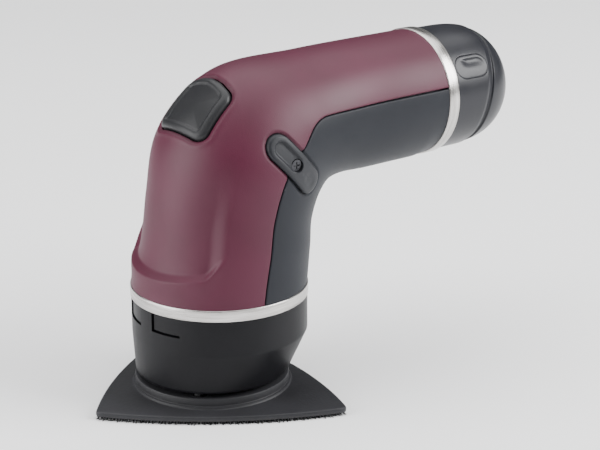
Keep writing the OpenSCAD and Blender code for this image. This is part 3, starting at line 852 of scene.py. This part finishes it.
# %% Clips
CLIP_COUNT = 150
CLIP_RISE = 0.95
SCREW_HOLE_R = 2.35
edge_profile = [(0, -1.2), (0, 0.1), (-0.08, 0.45), (-0.3, 0.72), (-0.65, 0.9), (-1.0, CLIP_RISE)]
inner_grows = np.linspace(-1.2, -CLIP_WIDTH / 2 + 0.12, 18)
UPPER_DISH = Outline([(-8.6, 0), (-1.2, 0)], [3.2, 3.2])
LOWER_DISH = Outline([(7.6, 0), (9.0, 0)], [2.9, 2.9])


def clip_lift(ring, lift):
    upper_hollow = 1.05 * step(-UPPER_DISH.distance(ring[:, 0], ring[:, 1]) / 1.3)
    lower_hollow = 0.22 * step(-LOWER_DISH.distance(ring[:, 0], ring[:, 1]) / 2.2)
    return lift - upper_hollow - lower_hollow


def clip_grid(side):
    rings = []
    for grow, lift in edge_profile + [(g, CLIP_RISE) for g in inner_grows]:
        ring = CLIP_SHAPE.ring(CLIP_COUNT, grow)
        laid = clip_place(ring, side)
        laid[:, 1] -= side * clip_lift(ring, lift)
        rings.append(laid)
    return np.stack(rings)


for side, name in ((1, "left"), (-1, "right")):
    clip = solid(f"clip_{name}", [patch(clip_grid(side), first_cap=True, last_cap=True)],
                 clip_grey, "housing", [f"side_clip_{name}"])
    bar = circle(SCREW_HOLE_R, 64)
    ends = [CLIP_AT + bar[:, :1] * CLIP_ALONG + bar[:, 1:] * CLIP_ACROSS + np.array([0, y, 0])
            for y in (-side * 24.0, -side * 40.0)]
    cut(clip, [patch(np.stack(ends), first_cap=True, last_cap=True)])
    crisp(clip, 40)

# %% [markdown]
# ## Battery cap and its release buttons
#
# The pack ends in a satin cap. Its side wall runs straight for a while and then closes in a
# blunt, rounded end. A tilted crease divides the grip part from the end, and the surface behind
# it lies a little lower. The cap is a hollow turned shape whose radius also depends on that
# crease. Two release buttons sit in pockets in its upper sides.

# %% Cap
cap_low, cap_high = box_mm("battery_cap")
CAP_R = (cap_high[1] - cap_low[1]) / 2
CAP_STRAIGHT = 7.0
CAP_WALL = 2.2
ROUNDNESS = 3.4
RELEASE_TILT = math.radians(30)
release_low, release_high = box_mm("release_button_left")
RELEASE_X = (release_low[0] + release_high[0]) / 2


def cap_radius(x, radius, end):
    reach = end - cap_low[0] - CAP_STRAIGHT
    share = np.clip((x - cap_low[0] - CAP_STRAIGHT) / reach, 0, 1)
    return radius * np.sqrt(np.maximum(1 - share**ROUNDNESS, 0))


def crease_depth(x, height):
    past = x - (115.6 + 0.18 * height + 0.0055 * height**2)
    valley = 0.85 * step((past + 3.2) / 3.0) * (1 - step((past - 0.1) / 0.6))
    fade = 1 - step((x - 126) / 7)
    return (valley + 0.3 * step(past / 0.7)) * fade


CAP_COUNT = 260
angle = np.linspace(0, 2 * np.pi, CAP_COUNT, endpoint=False)[None, :]
end = cap_high[0] + 0.9
sweep = np.sin(np.linspace(0, np.pi / 2, 46)) ** (2 / ROUNDNESS)
cap_x = np.concatenate([
    cap_low[0] + np.array([0, 0.12, 0.35]), np.linspace(cap_low[0] + 0.8, cap_low[0] + CAP_STRAIGHT, 10),
    (cap_low[0] + CAP_STRAIGHT + sweep * (end - cap_low[0] - CAP_STRAIGHT))[1:-1],
])[:, None]
CREASE_FROM, CREASE_TO = 110, 126
dense = np.linspace(CREASE_FROM, CREASE_TO, 90)[:, None]
sparse = cap_x[(cap_x < CREASE_FROM) | (cap_x > CREASE_TO)][:, None]
cap_x = np.sort(np.concatenate([sparse, dense]), axis=0)
skin_r = cap_radius(cap_x, CAP_R, end)
chamfer = 0.35 * (1 - step((cap_x - cap_low[0]) / 0.5))
skin_r = skin_r - chamfer
skin_r = skin_r - crease_depth(cap_x, skin_r * np.cos(angle))
outside = np.stack(np.broadcast_arrays(
    cap_x, skin_r * np.sin(angle), HANDLE_Z + skin_r * np.cos(angle)), -1)
inner_x = np.linspace(end - 2.6, cap_low[0], 24)[:, None]
inner_r = cap_radius(inner_x, CAP_R - CAP_WALL, end - 2.5)
inside = np.stack(np.broadcast_arrays(
    inner_x, inner_r * np.sin(angle), HANDLE_Z + inner_r * np.cos(angle)), -1)
cap_shell = solid("battery_cap_skin", [
    patch(np.concatenate([inside, outside]), first_cap=True, last_cap=True)],
    cap_black, "battery", ["battery_cap"])

# %% Release buttons
RELEASE_SHAPE = Outline([(-3.4, 0), (3.4, 0)], [4.6, 4.6])


def release_ring(shape_ring, side, height):
    across = shape_ring[:, 1]
    depth = np.sqrt(CAP_R**2 - across**2) + height
    out = np.array([0, -side * math.cos(RELEASE_TILT), math.sin(RELEASE_TILT)])
    up = np.array([0, side * math.sin(RELEASE_TILT), math.cos(RELEASE_TILT)])
    along = np.array([1.0, 0, 0])
    centre = np.array([RELEASE_X, 0, HANDLE_Z])
    return centre + shape_ring[:, :1] * along + across[:, None] * up + depth[:, None] * out


release_profile = [(0, -2.7), (0, -0.3), (-0.06, -0.16), (-0.2, -0.1), (-0.7, -0.1), (-1.2, -0.1)]
for side, name in ((1, "left"), (-1, "right")):
    pocket = [release_ring(RELEASE_SHAPE.ring(96, 0.12), side, height) for height in (-5.5, 3)]
    cut(cap_shell, [patch(np.stack(pocket), first_cap=True, last_cap=True)])
    rings = [
        release_ring(RELEASE_SHAPE.ring(96, grow), side, height) for grow, height in release_profile
    ]
    for k in np.linspace(0.96, 0.02, 26):
        hollow = RELEASE_SHAPE.ring(96, -1.2, k)
        scoop = step((hollow[:, 1] + 1.6) / 4.4) * step((hollow[:, 0] + 5.5) / 5)
        rings.append(release_ring(hollow, side, -0.1 - 0.75 * (1 - k**4) * scoop))
    press = solid(f"release_{name}_cap", [patch(np.stack(rings), first_cap=True, last_cap=True)],
                  cap_black, f"release_{name}", [f"release_button_{name}"])
    crisp(press, 45)
crisp(cap_shell, 35)

# %% [markdown]
# ## The delta pad
#
# The pad is one moulding: a thin plate with bulged sides, a round boss with a bead at its foot
# where it meets the collar, and a hub inside for the bearing. The outline is the overlap of
# three large circles, with rounded corners. One grid runs from the bearing seat over the boss
# to the plate's edge and back underneath, where the rings change from round to triangular.

# %% Pad outline
hook_high = box_mm("hook_face")[1]
PAD_TIP = np.array([-50.5, 0.0])
PAD_REAR = np.array([23.0, 51.4])
SIDE_BULGE, REAR_BULGE = 6.2, 9.1
PAD_CORNER_R = 1.8


def bulged_circle(start, stop, bulge):
    chord = stop - start
    half = np.linalg.norm(chord) / 2
    radius = (half**2 + bulge**2) / (2 * bulge)
    middle = (start + stop) / 2
    outward = np.array([chord[1], -chord[0]]) / (2 * half)
    outward *= np.sign(middle @ outward)
    return middle - outward * (radius - bulge), radius


left_corner, right_corner = PAD_REAR * [1, -1], PAD_REAR
pad_circles = [
    bulged_circle(PAD_TIP, left_corner, SIDE_BULGE), bulged_circle(PAD_TIP, right_corner, SIDE_BULGE),
    bulged_circle(left_corner, right_corner, REAR_BULGE),
]


def exit_distance(angle, inset):
    ray = np.stack([np.cos(angle), np.sin(angle)], axis=1)
    reach = []
    for centre, radius in pad_circles:
        along = ray @ centre
        reach.append(along + np.sqrt(along**2 + (radius - inset) ** 2 - centre @ centre))
    return np.min(reach, axis=0)


fine = np.linspace(0, 2 * np.pi, 1440, endpoint=False)
inset_line = exit_distance(fine, PAD_CORNER_R)[:, None] * np.stack([np.cos(fine), np.sin(fine)], axis=1)
PAD_SHAPE = Outline(inset_line, np.full(len(inset_line), PAD_CORNER_R))
print("pad outline reaches", round(PAD_SHAPE.reach.max(), 1), "mm")

# %% Plate, boss and hub
PAD_COUNT = 300
PLATE_TOP, BEAD_TOP, BOSS_TOP = 3.2, 4.1, 7.0
BOSS_R, BEAD_R, HUB_R, SEAT_R, ACCESS_R = 28.3, 29.1, 14.0, 11.0, 7.0


def level(ring, z):
    return np.concatenate([ring, np.full((len(ring), 1), z)], axis=1)


pad_turn = np.linspace(0, 2 * np.pi, PAD_COUNT, endpoint=False)
pad_facing = np.stack([np.cos(pad_turn), np.sin(pad_turn)], axis=1)


def pad_ring(radius):
    return np.reshape(radius, (-1, 1)) * pad_facing


def between_rings(share, grow):
    return pad_ring(BEAD_R * (1 - share) + PAD_SHAPE.radius(pad_turn, grow) * share)


boss_profile = [
    (ACCESS_R, hook_high[2]), (ACCESS_R, 5.2), (SEAT_R, 5.2), (SEAT_R, 12.4), (HUB_R - 0.3, 12.4),
    (HUB_R, 12.1), (HUB_R, BOSS_TOP), (BOSS_R - 0.5, BOSS_TOP), (BOSS_R - 0.15, BOSS_TOP - 0.12),
    (BOSS_R, BOSS_TOP - 0.4), (BOSS_R, BEAD_TOP + 0.25), (BOSS_R + 0.12, BEAD_TOP + 0.06),
    (BEAD_R - 0.35, BEAD_TOP), (BEAD_R - 0.08, BEAD_TOP - 0.12), (BEAD_R, BEAD_TOP - 0.35),
    (BEAD_R + 0.06, PLATE_TOP + 0.35), (BEAD_R + 0.35, PLATE_TOP + 0.06),
]
pad_rows = [level(pad_ring(np.full(PAD_COUNT, r)), z) for r, z in boss_profile]
pad_rows += [level(between_rings(k, -1.2), PLATE_TOP) for k in np.linspace(0.08, 1, 24)]
edge = [(-0.8, 0), (-0.4, -0.06), (-0.12, -0.25), (0, -0.6), (0, -1.55), (-0.15, -1.85), (-0.45, -2.0)]
pad_rows += [level(pad_ring(PAD_SHAPE.radius(pad_turn, g)), PLATE_TOP + z) for g, z in edge]
pad_rows += [level(between_rings(k, -0.45), hook_high[2]) for k in (0.66, 0.33)]
pad_plate = solid("pad_plate", [patch(np.stack(pad_rows), round_rows=True)], pad_black,
                  "pad", ["delta_plate"])
FOOT_CIRCLE, SOCKET_R = 23.6, 2.8
for turn in (45, 135, 225, 315):
    toward = np.array([math.cos(math.radians(turn)), math.sin(math.radians(turn))])
    socket = circle(SOCKET_R, 40) + FOOT_CIRCLE * toward
    cut(pad_plate, [patch(np.stack([level(socket, PLATE_TOP), level(socket, 9.0)]),
                          first_cap=True, last_cap=True)])
crisp(pad_plate, 32)

# %% [markdown]
# ## Hooks under the pad
#
# The sanding sheet clings to moulded hooks: stiff little hairs that lean over at the top. At
# the rim they show as a ragged dark fringe, so they are real geometry. Each is a bent, tapered
# rod with its own lean from a fixed random seed, standing on a thin backing.

# %% Backing and hooks
BACK_Z = 0.95
backing_rows = [
    level(pad_ring(np.full(PAD_COUNT, ACCESS_R)), BACK_Z),
    level(pad_ring(np.full(PAD_COUNT, ACCESS_R)), hook_high[2]),
    level(pad_ring(PAD_SHAPE.radius(pad_turn, -0.9)), hook_high[2]),
    level(pad_ring(PAD_SHAPE.radius(pad_turn, -0.8)), hook_high[2] - 0.05),
    level(pad_ring(PAD_SHAPE.radius(pad_turn, -0.8)), BACK_Z),
]
HOOK_SIDES = 5
HOOK_ROOT = BACK_Z + 0.05
HOOK_THICKNESS = [0.27, 0.25, 0.24, 0.2]
dice = np.random.default_rng(7)


def hook(x, y, root, tip, lean, heading):
    path = np.array([
        (0, 0, root), (0.1, 0, root * 0.6 + tip * 0.4), (0.35, 0, root * 0.15 + tip * 0.85), (1, 0, tip),
    ])
    path[:, 0] *= lean
    rows = []
    for (along, _, z), r in zip(path, HOOK_THICKNESS):
        ring = circle(r, HOOK_SIDES)
        rows.append(level(ring + [x, y], z) + [along * math.cos(heading), along * math.sin(heading), 0])
    return patch(np.stack(rows), first_cap=True, last_cap=True)


hooks = []
for grow, spacing in ((-0.95, 1.25), (-2.1, 1.3)):
    count = int(300 / spacing)
    for x, y in PAD_SHAPE.ring(count, grow) + dice.uniform(-0.3, 0.3, (count, 2)):
        heading = math.atan2(y, x) + dice.uniform(-0.9, 0.9)
        hooks.append(hook(
            x, y, HOOK_ROOT, dice.uniform(0.0, 0.25), dice.uniform(0.5, 1.35), heading))
FIELD = 2.1
for x in np.arange(-48, 32, FIELD):
    for y in np.arange(-50, 51, FIELD * 0.8):
        x1, y1 = x + dice.uniform(-0.4, 0.4), y + dice.uniform(-0.4, 0.4)
        past_edge = PAD_SHAPE.distance(np.array([x1]), np.array([y1]))[0] > -2.4
        if past_edge or math.hypot(x1, y1) < ACCESS_R + 0.8:
            continue
        heading = dice.uniform(0, 2 * math.pi)
        hooks.append(hook(
            x1, y1, HOOK_ROOT, dice.uniform(0.0, 0.2), dice.uniform(0.15, 0.5), heading))
solid("hook_backing", [patch(np.stack(backing_rows), round_rows=True)] + hooks, hook_black,
      "pad", ["hook_face"])
print(len(hooks), "hooks")

# %% [markdown]
# ## Finishes for the parts inside
#
# Motor, bearing, electronics and cells keep their CAD shapes, which are already exact. Each
# gets the finish of its real material through the record's own slot names.

# %% Finishes by slot
FINISHES = {
    "burgundy_soft_touch": burgundy, "grey_soft_touch": grey_grip, "clip_plastic": clip_grey,
    "collar_plastic": collar_black, "cap_plastic": cap_black, "button_plastic": button_black,
    "trim_steel": trim_steel, "screw_steel": plain_steel, "motor_steel": motor_steel,
    "magnet_ferrite": ferrite, "copper": copper, "bronze": bronze, "bearing_steel": bearing_steel,
    "inner_plastic": inner_black, "die_cast": die_cast, "board_green": board_green,
    "wire_red": wire_red, "cell_wrap": cell_wrap, "pad_plastic": pad_black,
    "hook_fabric": hook_black, "seal_rubber": seal_black,
}
for row in frame["record"]["subparts"]:
    part = bpy.data.objects[row["node"]]
    for slot in part.material_slots:
        slot.material = FINISHES[row["material_slot"]]

# %% Floor
floor_paint = Paint("floor", Roughness=0.6)
cloud = floor_paint.noise(3, 2)
floor_paint.to("Base Color", floor_paint.mix(cloud, (0.93, 0.93, 0.94), (0.95, 0.95, 0.95)))
floor_mesh = bpy.data.meshes.new("floor")
floor_mesh.from_pydata([(-6, -6, 0), (6, -6, 0), (6, 6, 0), (-6, 6, 0)], [], [(0, 1, 2, 3)])
floor_mesh.materials.append(floor_paint.material)
floor = bpy.data.objects.new("floor", floor_mesh)
bpy.context.collection.objects.link(floor)
print("floor ready")
